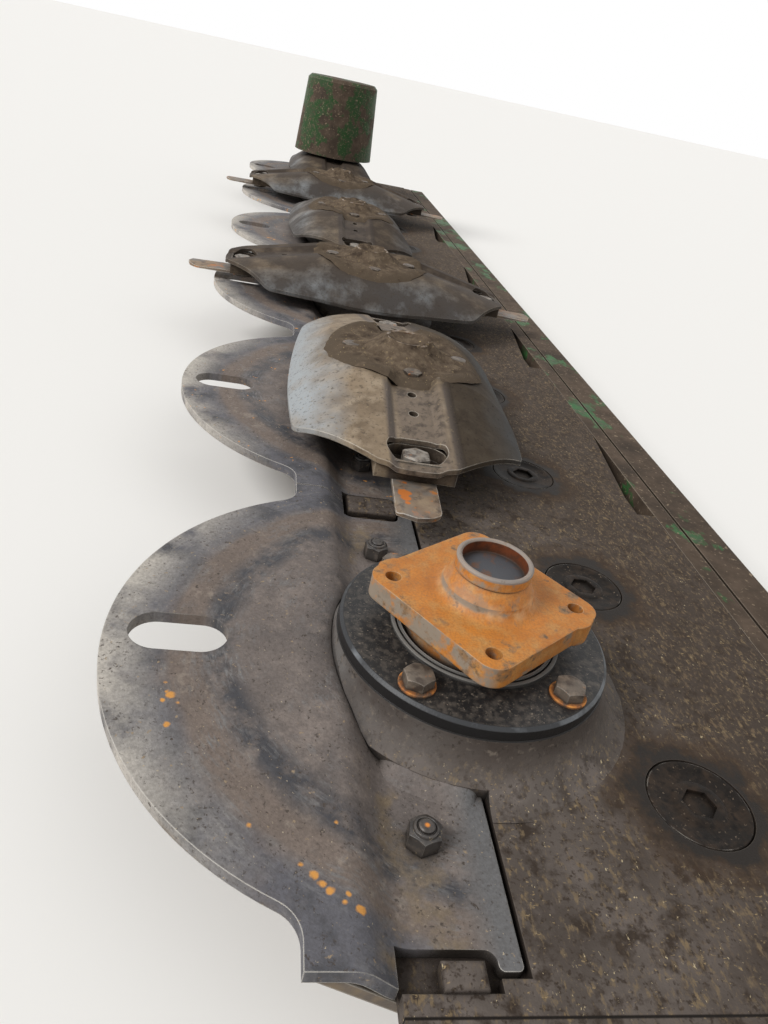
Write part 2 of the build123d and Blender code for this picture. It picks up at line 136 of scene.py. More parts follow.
class Finish:
    """A new material with the object's own coordinates and its open principled shader."""

    def __init__(self, name):
        self.material = bpy.data.materials.new(name)
        self.material.use_nodes = True
        self.tree = self.material.node_tree
        self.shader = self.tree.nodes["Principled BSDF"]
        self.place = add(self.tree, "ShaderNodeTexCoord", out="Object")
        self.axes = add(self.tree, "ShaderNodeSeparateXYZ", self.place).node.outputs

    def patches(self, size, cover, soft=0.06, seed=0.0, stretch=(1, 1, 1), place=None, detail=5):
        """Mask of ragged patches about size millimetres across that cover that share of the surface."""
        spread = add(self.tree, VECTOR, place or self.place, stretch, operation="MULTIPLY")
        cloud = add(self.tree, NOISE, Vector=spread, W=seed, Scale=1 / (size * mm), Detail=detail,
                    Roughness=0.6, noise_dimensions="4D")
        middle = 0.68 - 0.36 * cover
        return add(self.tree, RANGE, cloud, middle - soft, middle + soft, 0.0, 1.0)

    def edges(self, radius=2.0):
        """Mask of the metal within about radius millimetres of an edge that stands out."""
        soft = add(self.tree, "ShaderNodeBevel", Radius=radius * mm, samples=6)
        flat = add(self.tree, "ShaderNodeNewGeometry", out="Normal")
        same = add(self.tree, VECTOR, soft, flat, operation="DOT_PRODUCT", out="Value")
        return add(self.tree, RANGE, same, 0.985, 0.86, 0.0, 1.0)

    def hollow_shade_and_dirt(self, reach=14.0):
        """Mask of the inner corners and gaps, from ambient occlusion, for the painted shade that falls
        there and the dirt that stays there.
        """
        light = add(self.tree, "ShaderNodeAmbientOcclusion", Distance=reach * mm, samples=6, out="AO")
        return add(self.tree, RANGE, light, 0.9, 0.45, 0.0, 1.0)

    def both(self, *masks):
        """Where all of the masks are 1."""
        result = masks[0]
        for mask in masks[1:]:
            result = add(self.tree, MATH, result, mask, operation="MULTIPLY")
        return result

    def any_of(self, masks):
        """Where at least one of the masks is 1."""
        result = masks[0]
        for mask in masks[1:]:
            result = add(self.tree, MATH, result, mask, operation="MAXIMUM")
        return result

    def ramp(self, length, start, full, base=0.0, most=1.0):
        """Mask that grows from 0 to most between two lengths, in millimetres from base."""
        return add(self.tree, RANGE, length, base + start * mm, base + full * mm, 0.0, most)

    def between(self, length, low, high, soft, base=0.0):
        """Mask of the stretch between two lengths, in millimetres from base, with soft ends."""
        rise = self.ramp(length, low - soft, low + soft, base)
        fall = self.ramp(length, high + soft, high - soft, base)
        return self.both(rise, fall)

    def shifted(self, length, cloud, deep):
        """The length made ragged by up to deep millimetres of noise."""
        return add(self.tree, MATH, cloud, deep * mm, length, operation="MULTIPLY_ADD")

    def minus(self, length, other):
        """One length less another."""
        return add(self.tree, MATH, length, other, operation="SUBTRACT")

    def distance(self, along, across):
        """Length of the way to a place in plan."""
        flat = add(self.tree, "ShaderNodeCombineXYZ", along, across, 0.0)
        return add(self.tree, VECTOR, flat, operation="LENGTH", out="Value")

    def around_hub(self):
        """Distance from the nearest hub's axis, place along and ahead of it, and height, in metres."""
        first = hub_at[1].x
        along = add(self.tree, MATH, self.axes["X"], first + hub_pitch / 2, first - hub_pitch / 2,
                    operation="WRAP")
        along = self.minus(along, first)
        ahead = self.minus(hub_y, self.axes["Y"])
        return self.distance(along, ahead), along, ahead, self.axes["Z"]

    def from_plugs(self):
        """Distances from the two idler plugs behind the nearest hub, in metres."""
        _, along, ahead, _ = self.around_hub()
        back = add(self.tree, MATH, ahead, idler_back, operation="ADD")
        return [self.distance(self.minus(along, side), back) for side in idler_sides]

    def spots(self, marks, wobble=6.0):
        """Mask of ragged spots: marks are (along, ahead, radius) from the first hub, in millimetres."""
        cloud = add(self.tree, NOISE, Vector=self.place, Scale=1 / (7 * mm), Detail=3)
        masks = []
        for along, ahead, radius in marks:
            away = self.distance(self.minus(self.axes["X"], hub_at[1].x + along * mm),
                                 self.minus(self.axes["Y"], hub_y - ahead * mm))
            edge = radius + wobble / 2
            masks.append(self.ramp(self.shifted(away, cloud, wobble), edge + 0.6, edge - 0.6))
        return self.any_of(masks)

    def dusty_film_and_rear_shade(self, where=1.0):
        """Layers of dried sap, dust and chaff that run on from the case over the quills' feet, and a
        painted shade that darkens them towards the rear.
        """
        # Painted shade: darker towards the rear of the bar; chaff flecks gather there too
        rear = self.ramp(self.minus(hub_y, self.axes["Y"]), -30, -180, most=0.75)
        chaff = self.patches(3.0, 0.24, 0.05, 8.0, (0.5, 1, 1))
        layers = (("5C544E", 1.0),
                  ("4A423C", self.patches(60, 0.45, 0.14, 3.0)),
                  ("69605A", self.patches(26, 0.3, 0.1, 5.0)),
                  ("372E27", self.patches(12, 0.3, 0.06, 6.0)),
                  # Painted shade towards the rear
                  ("3B3129", rear),
                  ("3B322B", self.patches(2.6, 0.25, 0.05, 12.0)),
                  ("78674F", self.both(chaff, self.patches(40, 0.6, 0.12, 10.0))),
                  ("6F5E4A", self.both(rear, self.patches(2.6, 0.22, 0.06, 16.0, (0.5, 1, 1)))),
                  ("94805F", self.patches(2.0, 0.07, 0.03, 9.0, (1, 0.5, 1))),
                  ("B5A584", self.patches(1.7, 0.02, 0.012, 14.0, (0.5, 1, 1))))
        return [(colour, self.both(mask, where)) for colour, mask in layers]

    def colours(self, base, *layers):
        """Lays hex colours over the base one by one, each where its mask is 1."""
        colour = linear(base)
        for layer, mask in layers:
            colour = add(self.tree, "ShaderNodeMix", mask, colour, linear(layer), data_type="RGBA")
        self.tree.links.new(colour, self.shader.inputs["Base Color"])

    def surface(self, roughness, metallic=0.0, rough_where=None, bumps=(), edge=1.2, shine=0.5):
        """Sets gloss and relief: bumps are (size, depth) of grain or (mask, depth), in millimetres."""
        self.shader.inputs["Metallic"].default_value = metallic
        self.shader.inputs["Specular IOR Level"].default_value = shine
        self.shader.inputs["Roughness"].default_value = roughness
        if rough_where is not None:
            mask, other = rough_where
            value = add(self.tree, RANGE, mask, 0.0, 1.0, roughness, other)
            self.tree.links.new(value, self.shader.inputs["Roughness"])
        normal = add(self.tree, "ShaderNodeBevel", Radius=edge * mm, samples=6)
        for what, depth in bumps:
            height = what
            if not isinstance(what, bpy.types.NodeSocket):
                height = add(self.tree, NOISE, Vector=self.place, Scale=1 / (what * mm), Detail=4)
            normal = add(self.tree, "ShaderNodeBump", Strength=1.0, Distance=depth * mm, Height=height,
                         Normal=normal)
        self.tree.links.new(normal, self.shader.inputs["Normal"])
        return self.material


def disc_turn(number):
    """How far a disc is turned: its long way lies along the bar or across it."""
    low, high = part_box(f"disc_{number}")
    return math.radians(90) if high.y - low.y > high.x - low.x else 0.0


def give(names, material):
    """Puts the material on those CAD nodes."""
    for name in names:
        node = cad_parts[name]
        node.data.materials.clear()
        node.data.materials.append(material)


def new_piece(name, bm, material, body):
    """Makes the mesh an object of the bar's that rides on a body, smooth but for its sharp edges."""
    bmesh.ops.recalc_face_normals(bm, faces=bm.faces)
    for face in bm.faces:
        face.smooth = True
    for edge in bm.edges:
        edge.smooth = len(edge.link_faces) != 2 or edge.calc_face_angle() < math.radians(32)
    mesh = bpy.data.meshes.new(name)
    bm.to_mesh(mesh)
    bm.free()
    piece = bpy.data.objects.new(name, mesh)
    bpy.context.scene.collection.objects.link(piece)
    piece.data.materials.append(material)
    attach(piece, body)


def skin(bm, rings):
    """Joins rings of vertices into a closed form."""
    count = len(rings[0])
    for one, two in zip(rings, rings[1:]):
        for k in range(count):
            bm.faces.new((one[k], one[k + 1 - count], two[k + 1 - count], two[k]))
    bm.faces.new(reversed(rings[0]))
    bm.faces.new(rings[-1])


def turned(bm, place, profile, columns, radius_at=None):
    """Adds a closed turned form from (radius, height) points; radius_at bends a ring off the round."""
    rings = []
    for step, (radius, height) in enumerate(profile):
        ring = []
        for k in range(columns):
            angle = math.tau * k / columns
            r, h = radius_at(step, angle, radius, height) if radius_at else (radius, height)
            ring.append(bm.verts.new(place @ Vector((r * math.cos(angle), r * math.sin(angle), h))))
        rings.append(ring)
    skin(bm, rings)


def hexagon(angle, inner):
    """How far a hexagon's side lies from its middle in one direction, from its inner radius."""
    return inner / math.cos((angle + math.radians(30)) % math.radians(60) - math.radians(30))


def hex_head(bm, place, flats, height, columns=36):
    """Adds a hexagon head whose top corners are turned off at 30 degrees."""
    crown = 0.95 * flats / 2

    def corner(step, angle, radius, level):
        if step == 2:
            return crown, height
        out = hexagon(angle, flats / 2)
        return out, level if step == 0 else height - (out - crown) * math.tan(math.radians(30))

    turned(bm, place, [(flats, 0.0), (flats, height), (crown, height)], columns, corner)


def washer(bm, place, radius, sheet, columns=32):
    """Adds a flat washer, seen only from above, with a rounded rim."""
    turned(bm, place, [(radius, 0.0), (radius, 0.7 * sheet), (radius - 0.3 * sheet, sheet)], columns)


def lumpy(point, size, deep):
    """Height of a lumpy surface at a point, up or down by as much as deep."""
    return deep * (noise.noise(point / size) + 0.5 * noise.noise(2.3 * point / size))


def heap(bm, low, high, top, lump, step=2.5 * mm):
    """Adds a closed cake of mud between two corners in plan, up to a lumpy top with rounded rims."""
    across = max(3, round((high.x - low.x) / step))
    deep = max(3, round((high.y - low.y) / step))
    rows = []
    for i in range(across + 1):
        row = []
        for j in range(deep + 1):
            u, v = 2 * i / across - 1, 2 * j / deep - 1
            at = Vector((low.x + i / across * (high.x - low.x), low.y + j / deep * (high.y - low.y), low.z))
            full = (1 - abs(u) ** 7) * (1 - abs(v) ** 7)
            rise = max(0.0, top - low.z + lumpy(at, 9 * mm, lump)) * full
            row.append(bm.verts.new(at + Vector((0, 0, rise))))
        rows.append(row)
    for i in range(across):
        for j in range(deep):
            bm.faces.new((rows[i][j], rows[i + 1][j], rows[i + 1][j + 1], rows[i][j + 1]))
    rim = ([rows[i][0] for i in range(across)] + rows[across][:deep]
           + [rows[i][deep] for i in range(across, 0, -1)] + rows[0][deep:0:-1])
    bm.faces.new(reversed(rim))


# Finishes

def guard_steel(name, marks):
    # Hot-rolled spring steel plate, scoured by soil into dull grey and brown arcs about each hub
    f = Finish(name)
    away, along, ahead, height = f.around_hub()
    # Streaks are drawn out along arcs about the hub
    angle = add(f.tree, MATH, ahead, along, operation="ARCTAN2")
    swept = add(f.tree, MATH, angle, streak_r, operation="MULTIPLY")
    turning = add(f.tree, "ShaderNodeCombineXYZ", away, swept, 0.0)
    arc = f.shifted(away, add(f.tree, NOISE, Vector=f.place, Scale=18, Detail=5), 14)
    outer = f.ramp(arc, 196, 206)
    line = f.both(f.between(arc, 197.5, 200.5, 1.5), f.patches(20, 0.2, 0.12, 4.0))
    dark = f.both(f.between(arc, 158, 176, 5), f.patches(17, 0.62, 0.09))
    tan = f.both(f.between(arc, 176, 194, 3), f.patches(9, 0.2, 0.05, 5.0))
    nose = f.distance(along, f.minus(ahead, guard_nose_ahead))
    front = f.ramp(ahead, 130, 210)
    rim = f.both(f.ramp(nose, -36, -4, guard_nose_r), front, f.patches(38, 0.72, 0.1, 2.0))
    edges = f.edges(1.0)
    # Worn outer edge of the nose with a painted highlight line along it
    lip = f.both(f.ramp(nose, -5, -3, guard_nose_r), edges, f.patches(30, 0.8, 0.08, 24.0))
    streaks = f.patches(2.2, 0.36, 0.08, 1.0, place=turning)
    low = f.ramp(height, -3, -12, guard_top)
    rear = f.both(low, f.ramp(ahead, 32, 16))
    rust = f.spots(marks) if marks else f.patches(9, -0.06, 0.015, 13.0, detail=2)
    pits = f.patches(2.6, 0.16, 0.04, 21.0)
    f.colours("796F69",
              ("625B58", f.patches(55, 0.5, 0.12, 7.0)),
              ("857A73", f.patches(19, 0.3, 0.07, 9.0)),
              ("786A60", f.both(f.between(arc, 178, 198, 4), 0.7)),
              ("626166", f.both(outer, f.patches(40, 0.9, 0.14, 12.0))),
              ("4C4C50", f.both(outer, f.patches(22, 0.35, 0.06, 25.0))),
              ("404044", dark),
              ("8C8075", tan),
              ("8A8784", line),
              ("7E7C7B", f.both(streaks, f.patches(34, 0.35, 0.1, 17.0))),
              ("BFB8AE", rim),
              ("7D6E5B", f.both(low, f.patches(24, 0.26, 0.06, 14.0))),
              ("6A6969", rear),
              ("4A413A", f.both(pits, f.patches(24, 0.6, 0.1, 15.0))),
              ("35302C", f.both(f.patches(1.8, 0.5, 0.12, 26.0), 0.3)),
              ("93816A", f.patches(4, 0.05, 0.025, 11.0)),
              ("B0A28B", f.patches(2.0, 0.015, 0.012, 19.0)),
              ("CF934C", rust),
              ("8D8880", f.both(edges, f.patches(26, 0.4, 0.1, 23.0))),
              # Painted highlight line along the worn nose edge
              ("CBC6BD", lip),
              # Painted shade, darkened with dirt, in the inner corners and gaps
              ("2B2520", f.hollow_shade_and_dirt(12)))
    grain = [(1.6, 0.24), (pits, -0.15), (18, 0.6), (streaks, 0.05)]
    return f.surface(0.68, rough_where=(dark, 0.5), bumps=grain, edge=1.2, shine=0.3)


def case_steel():
    # Welded steel case under a film of dried sap, dust and chaff, with oil wept round its plugs and a
    # painted shade towards the rear
    f = Finish("dusty_case_steel")
    cloud = add(f.tree, NOISE, Vector=f.place, Scale=44, Detail=8, Roughness=0.62)
    reaches = [f.shifted(reach, cloud, 60) for reach in f.from_plugs()]
    oil = f.any_of([f.ramp(reach, 78, 68) for reach in reaches])
    soaked = f.any_of([f.ramp(reach, 94, 73, most=0.75) for reach in reaches])
    end = add(f.tree, MATH, f.minus(f.axes["X"], row_middle), operation="ABSOLUTE")
    f.colours("5C544E",
              *f.dusty_film_and_rear_shade(),
              ("3E2F22", soaked),
              ("231E1A", oil),
              ("5E564D", f.both(f.edges(1.0), 0.6)),
              ("1B1612", f.between(end, -0.7, 0.7, 0.3, plate_seam)),
              # Painted shade, darkened with dirt, in the inner corners and gaps
              ("241D18", f.hollow_shade_and_dirt(14)))
    return f.surface(0.85, rough_where=(oil, 0.6), bumps=[(1.3, 0.24), (9, 0.4)], edge=1.4, shine=0.2)


def black_casting():
    # Grey iron quill: black paint on the turned flange, bare dusty casting below, bright seal rings with a
    # painted highlight line on them
    f = Finish("black_painted_quill_casting")
    away, _, ahead, height = f.around_hub()
    flange = f.ramp(height, -9.4, -9.0, quill_top)
    flat = f.both(flange, f.ramp(away, -2.2, -2.8, flange_r))
    raised = f.ramp(height, 0.3, 0.6, quill_top)
    chamfer = f.both(f.between(away, -2.1, 0.5, 0.2, flange_r), f.ramp(height, -2.1, -1.7, quill_top))
    front = f.ramp(ahead, 0, 50)
    foot = f.ramp(away, 90, 100)
    f.colours("4F4741",
              ("66625F", f.both(front, f.patches(70, 0.75, 0.14, 1.0))),
              ("3F3630", f.patches(50, 0.42, 0.12, 2.0)),
              ("6E645A", f.patches(5, 0.16, 0.06, 3.0)),
              ("362F29", f.patches(3, 0.2, 0.05, 4.0)),
              # The film and its painted rear shade run on over the quill's foot
              *f.dusty_film_and_rear_shade(foot),
              ("1D1C1C", flange),
              ("45403B", f.both(flat, f.patches(4.5, 0.4, 0.08, 5.0))),
              ("6E655A", f.both(flat, f.patches(1.8, 0.14, 0.04, 6.0))),
              ("97897A", f.both(flat, f.patches(1.6, 0.04, 0.02, 7.0))),
              ("2A2B2D", chamfer),
              ("6C6F72", f.both(chamfer, f.patches(40, 0.3, 0.06, 8.0))),
              ("8B8883", f.both(raised, f.between(away, 49.5, 55.6, 0.2))),
              # Painted highlight: a thin bright line on the seal ring
              ("C4C2BE", f.both(raised, f.between(away, 49.6, 50.8, 0.3))),
              # Painted shade, darkened with dirt, in the inner corners and gaps
              ("1A1613", f.hollow_shade_and_dirt(12)))
    return f.surface(0.66, rough_where=(flange, 0.45), bumps=[(1.5, 0.15), (10, 0.3)], edge=0.8, shine=0.35)


def hub_enamel(name, paint, dirt_cover):
    # Iron hub casting in orange enamel, scuffed to grey primer in places, with a painted grey sheen on the
    # side that faces the front and key lamp, and dirt and painted shade at its hollows
    f = Finish(name)
    away, _, _, height = f.around_hub()
    normal = add(f.tree, "ShaderNodeNewGeometry", out="Normal")
    up = add(f.tree, "ShaderNodeSeparateXYZ", normal).node.outputs["Z"]
    upright = add(f.tree, RANGE, up, 0.35, 0.6, 1.0, 0.0)
    # Painted sheen: grey on the upright faces that look to the front, towards the key lamp
    facing = add(f.tree, VECTOR, normal, (0.607, -0.794, 0.0), operation="DOT_PRODUCT", out="Value")
    lit_side = add(f.tree, RANGE, facing, 0.4, 0.8, 0.0, 1.0)
    lit_side_sheen = f.both(lit_side, upright, f.patches(16, 0.55, 0.05, 4.0))
    scuffed = f.both(upright, f.patches(12, 0.2, 0.04, 5.0))
    low = f.both(f.between(height, 3, 9, 2, hub_seat), f.ramp(away, 37, 34))
    root = f.both(low, f.patches(15, 0.42, 0.08, 3.0))
    bore = f.both(f.ramp(away, 0.3, 0.1, bore_r), f.ramp(height, -1.2, -1.5, neck_top))
    floor = f.both(f.ramp(away, -0.1, -0.4, bore_r), f.ramp(height, -7, -8, neck_top))
    grime = f.both(f.ramp(away, 45, 48), f.patches(11, 0.2, 0.05, 8.0))
    f.colours(paint,
              ("AD6A2A", f.patches(26, 0.45, 0.14, 2.0)),
              ("B98A50", f.patches(9, 0.3, 0.12, 6.0)),
              ("8E5F33", f.both(f.patches(1.6, 0.4, 0.1, 13.0), 0.5)),
              ("D6A878", root),
              # Painted sheen in grey on the side that faces the front
              ("8D7F6F", lit_side_sheen),
              ("857868", scuffed),
              ("8B6B4A", grime),
              ("5F4A36", f.both(grime, f.patches(4, 0.4, 0.05, 9.0))),
              ("8A8078", f.ramp(height, -2.6, -1.8, neck_top)),
              ("6B4A2B", f.between(height, -8.6, -7.8, 0.3, neck_top)),
              ("6E5E4C", f.patches(7, dirt_cover, 0.06, 7.0)),
              ("C9A47C", f.both(f.edges(0.9), f.patches(16, 0.5, 0.08, 10.0))),
              ("6B3415", bore),
              ("4A2A18", f.both(bore, f.patches(6, 0.4, 0.08, 11.0))),
              ("45464A", floor),
              ("6A4326", f.both(floor, f.patches(9, 0.25, 0.08, 12.0))),
              # Painted shade, darkened with dirt, in the inner corners and gaps
              ("33261B", f.hollow_shade_and_dirt(6)))
    return f.surface(0.55, rough_where=(lit_side_sheen, 0.7), bumps=[(0.9, 0.16), (7, 0.2)], edge=1.4, shine=0.4)


def disc_steel(number):
    # Pressed boron steel, polished blue-grey by the crop on its lobes and browned by sap inside, with
    # painted shade on one wing and a painted highlight along its worn edges
    f = Finish(f"crop_polished_disc_steel_{number}")
    here = add(f.tree, VECTOR, f.place, tuple(hub_at[number]), operation="SUBTRACT")
    turn = disc_turn(number)
    own = add(f.tree, "ShaderNodeVectorRotate", Vector=here, Angle=-turn, rotation_type="Z_AXIS")
    parts = add(f.tree, "ShaderNodeSeparateXYZ", own).node.outputs
    side = add(f.tree, MATH, parts["Y"], operation="ABSOLUTE")
    cloud = add(f.tree, NOISE, Vector=f.place, Scale=14, Detail=4)
    lobe = f.ramp(f.shifted(side, cloud, 70), 100, 140)
    channel = f.ramp(side, 26, 18)
    # Painted shade: the wing on the disc's own +Y side, darkened and made rougher
    behind = f.ramp(parts["Y"], 24, 34, most=0.95)
    pad = f.ramp(f.shifted(f.distance(parts["X"], parts["Y"]), cloud, 50), 122, 100)
    pits = f.patches(3.0, 0.22, 0.05, number + 6.0)
    # The first disc is the cleanest, and the others lie under old sap
    first = number == disc_numbers[0]
    sap = 0.0 if first else f.both(f.patches(46, 0.95, 0.2, number + 9.0), 0.92)
    # Worn bright edges with a painted highlight on them, strongest on the first disc
    rim = f.both(f.edges(1.6), f.patches(60, 0.7, 0.1, number + 8.0), 0.85 if first else 0.3)
    f.colours("8A7964",
              ("6B5C4B", f.patches(34, 0.45, 0.12, number)),
              ("9B8B76", f.patches(18, 0.3, 0.1, number + 0.5)),
              ("9A9EA0", f.both(lobe, f.patches(60, 0.85, 0.14, number + 2.0))),
              ("74675A", channel),
              ("4C433B", f.both(channel, f.patches(12, 0.35, 0.07, number + 7.0))),
              ("5E544C", f.between(side, 25, 34, 2)),
              ("554838", f.both(pad, f.patches(22, 0.85, 0.12, number + 3.0))),
              ("86745A", f.both(pad, f.patches(6, 0.3, 0.08, number + 4.0))),
              ("3E352D", f.both(pits, 0.6)),
              ("8F7E64", f.patches(3, 0.08, 0.04, number + 5.0)),
              # Painted shade on the wing on the disc's own +Y side, nearly black on the first disc
              ("211B16", f.both(behind, 0.88 if first else 0.3)),
              ("352D27", sap),
              # Painted highlight along the worn edges
              ("C9C1B3", rim),
              # Painted shade, darkened with dirt, in the inner corners and gaps
              ("241D18", f.hollow_shade_and_dirt(14)))
    roughness, metallic = (0.5, 0.15) if first else (0.62, 0.0)
    grain = [(1.4, 0.12), (pits, -0.1), (12, 0.35)]
    return f.surface(roughness, metallic, rough_where=(behind, 0.85), bumps=grain, edge=1.4, shine=0.16)


def knife_steel():
    # Forged knife, brown with rust on its flats and ground bright along its bevels
    f = Finish("rusted_knife_steel")
    f.colours("7F6B58",
              ("927F68", f.patches(14, 0.4, 0.1, 1.0)),
              ("5A4A3C", f.patches(8, 0.3, 0.06, 2.0)),
              ("B9722F", f.patches(17, 0.24, 0.03, 3.3)),
              ("77736E", f.patches(24, 0.3, 0.1, 5.0)),
              ("C07030", f.spots(KNIFE_RUST)),
              ("D2CCC2", f.both(f.edges(1.6), f.patches(12, 0.7, 0.08, 6.0))))
    return f.surface(0.6, 0.3, bumps=[(1.6, 0.2), (8, 0.3)], edge=0.8)


def bolt_steel(name, base, rust_cover):
    # Zinc-plated bolt gone dull, with orange rust on its seat
    f = Finish(name)
    f.colours(base,
              ("7D7062", f.patches(6, 0.35, 0.08, 1.0)),
              ("463C34", f.patches(8, 0.4, 0.07, 2.0)),
              ("C8782E", f.patches(10, rust_cover, 0.05, 3.0)),
              ("9C958A", f.both(f.edges(0.8), 0.6)),
              # Painted shade, darkened with dirt, in the inner corners and gaps
              ("2A221C", f.hollow_shade_and_dirt(5)))
    return f.surface(0.55, 0.3, bumps=[(1.2, 0.12), (5, 0.2)], edge=0.6)


def rusty_washer():
    # Steel washer bled to bright orange rust under its bolt head
    f = Finish("rusted_washer_steel")
    f.colours("A9662C",
              ("C9863F", f.patches(5, 0.4, 0.08, 1.0)),
              ("5B4330", f.patches(7, 0.42, 0.06, 2.0)),
              # Painted shade, darkened with dirt, in the inner corners and gaps
              ("2A221C", f.hollow_shade_and_dirt(4)))
    return f.surface(0.8, bumps=[(1.2, 0.2)], edge=0.4)


def flaking_green(name, cover, green):
    # Green enamel on mild steel, flaked to rust and mud
    f = Finish(name)
    paint = f.patches(48, cover, 0.02, 5.0, (0.6, 1, 1))
    f.colours("4A3E33",
              ("5C4E42", f.patches(20, 0.5, 0.12, 1.0)),
              ("3A3129", f.patches(45, 0.4, 0.12, 2.0)),
              (green, paint),
              ("34422B", f.both(paint, f.patches(16, 0.45, 0.1, 6.0))),
              ("5A5240", f.both(paint, f.patches(5, 0.25, 0.06, 9.0))),
              ("8A7A66", f.patches(5, 0.12, 0.05, 7.0)),
              ("857A6C", f.edges(1.8)),
              # Painted shade, darkened with dirt, in the inner corners and gaps
              ("2A221B", f.hollow_shade_and_dirt(14)))
    grain = [(2, 0.2), (paint, 0.15), (14, 0.5)]
    return f.surface(0.75, rough_where=(paint, 0.5), bumps=grain, edge=1.5, shine=0.15)


def shoe_steel():
    # Wear shoe, scraped bright underneath along the way of travel
    f = Finish("scraped_shoe_steel")
    scratches = f.patches(2.2, 0.5, 0.12, 2.0, (1, 0.03, 1))
    under = f.ramp(f.axes["Z"], 12, 2)
    f.colours("5F554B",
              ("74675A", f.patches(30, 0.5, 0.12, 1.0)),
              ("8E8A84", f.both(under, scratches)),
              ("7A6A55", f.patches(12, 0.3, 0.08, 3.0)),
              ("A8A196", f.edges(2.0)))
    return f.surface(0.6, 0.3, rough_where=(under, 0.4), bumps=[(1.5, 0.15), (scratches, 0.06)], edge=1.5)


def guard_nut():
    # Black oxide lock nut, greasy round its stud, whose end shows a spot of rust on the first guard
    f = Finish("black_oxide_nut")
    stud = f.spots([(guard_nut_along / mm, guard_nut_ahead / mm, 1.0)], wobble=2.0)
    f.colours("3E3A37",
              ("574F48", f.patches(6, 0.3, 0.08, 1.0)),
              ("2A2522", f.patches(8, 0.4, 0.07, 2.0)),
              ("8A7A62", f.patches(2.4, 0.1, 0.03, 3.0)),
              ("77736D", f.both(f.edges(0.7), f.patches(6, 0.4, 0.06, 4.0))),
              ("E08A32", f.both(stud, f.ramp(f.axes["Z"], 12.4, 13, flange_top))),
              # Painted shade, darkened with dirt, in the inner corners and gaps
              ("1B1613", f.hollow_shade_and_dirt(5)))
    return f.surface(0.42, bumps=[(1.2, 0.12), (5, 0.2)], edge=0.6)


def oily_plug():
    # Steel plug black with oil and dust, with a thin bright ring where its rim rubs
    f = Finish("oily_plug_steel")
    rim = f.any_of([f.between(reach, 29.6, 33, 0.5) for reach in f.from_plugs()])
    f.colours("231F1C",
              ("382E26", f.patches(12, 0.4, 0.1, 1.0)),
              ("191614", f.patches(6, 0.3, 0.08, 2.0)),
              ("77695A", f.patches(2.4, 0.07, 0.03, 3.0)),
              ("B4AEA4", f.both(rim, f.edges(1.2), f.patches(16, 0.46, 0.05, 4.0))),
              # Painted shade, darkened with dirt, in the inner corners and gaps
              ("15110E", f.hollow_shade_and_dirt(5)))
    return f.surface(0.5, bumps=[(1.2, 0.15), (6, 0.2)], edge=0.6, shine=0.08)


def dried_mud():
    # Soil and chopped crop, dried hard: matt and crumbly, and darker where it thins out on a disc
    f = Finish("dried_mud_and_chaff")
    thin = f.both(f.ramp(f.around_hub()[0], 60, 80), f.patches(12, 0.8, 0.12, 5.0))
    f.colours("5A4D40",
              ("6F6151", f.patches(9, 0.4, 0.1, 1.0)),
              ("857459", f.patches(3, 0.12, 0.04, 2.0, (0.5, 1, 1))),
              ("3A3028", f.patches(14, 0.3, 0.1, 3.0)),
              ("53483C", thin),
              ("B09C74", f.patches(2, 0.04, 0.02, 4.0, (0.5, 1, 1))),
              # Painted shade, darkened with dirt, in the inner corners and gaps
              ("1F1914", f.hollow_shade_and_dirt(8)))
    return f.surface(0.95, bumps=[(1.6, 0.5), (4, 0.6)], edge=0.4, shine=0.1)


class CutterBarFasteners(bpy.types.PropertyGroup):
    """Sizes of the bolts, nuts and plugs on the bar"""
    flange_flats: FloatProperty(
        name="Flange bolt flats", description="Across the flats of the quills' bolts",
        default=17 * mm, unit="LENGTH")
    flange_along: FloatProperty(
        name="Flange bolts along", description="From the hub to a bolt, along the bar",
        default=57 * mm, unit="LENGTH")
    flange_across: FloatProperty(
        name="Flange bolts across", description="From the hub to a bolt, across the bar",
        default=46.5 * mm, unit="LENGTH")
    flange_head: FloatProperty(
        name="Flange bolt head", description="Height of the quills' bolt heads",
        default=7.0 * mm, unit="LENGTH")
    disc_flats: FloatProperty(
        name="Disc bolt flats", description="Across the flats of the discs' bolts",
        default=17 * mm, unit="LENGTH")
    disc_circle: FloatProperty(
        name="Disc bolt circle", description="Radius of the discs' bolt circle",
        default=59 * mm, unit="LENGTH")
    guard_flats: FloatProperty(
        name="Guard nut flats", description="Across the flats of the guards' nuts",
        default=17 * mm, unit="LENGTH")


class CutterBarStage(bpy.types.PropertyGroup):
    """Camera, lamps and floor"""
    camera_at: FloatVectorProperty(
        name="Camera", description="Where the camera stands", subtype="TRANSLATION",
        default=(hub_at[1].x + 0.38532, hub_y - 0.15996, guard_top + 0.32481))
    heading: FloatProperty(
        name="Heading", description="Camera's turn about the upright", subtype="ANGLE",
        default=math.radians(77.6))
    pitch: FloatProperty(
        name="Pitch", description="How far the camera looks down", subtype="ANGLE", default=0.5147)
    roll: FloatProperty(name="Roll", description="Camera's lean", subtype="ANGLE", default=0.2225)
    lens: FloatProperty(
        name="Lens", description="Focal length for a frame 36 mm high", default=27.41, min=1)
    floor: FloatVectorProperty(
        name="Floor", description="Colour of the floor", subtype="COLOR", size=4, default=linear("F0EEEA"))
    key: FloatProperty(name="Key", description="Strength of the lamp ahead of the bar", default=2.6, min=0)
    fill: FloatProperty(name="Fill", description="Strength of the lamp behind the bar", default=0.35, min=0)
    sky: FloatProperty(name="Sky", description="Strength of the light from all round", default=0.4, min=0)


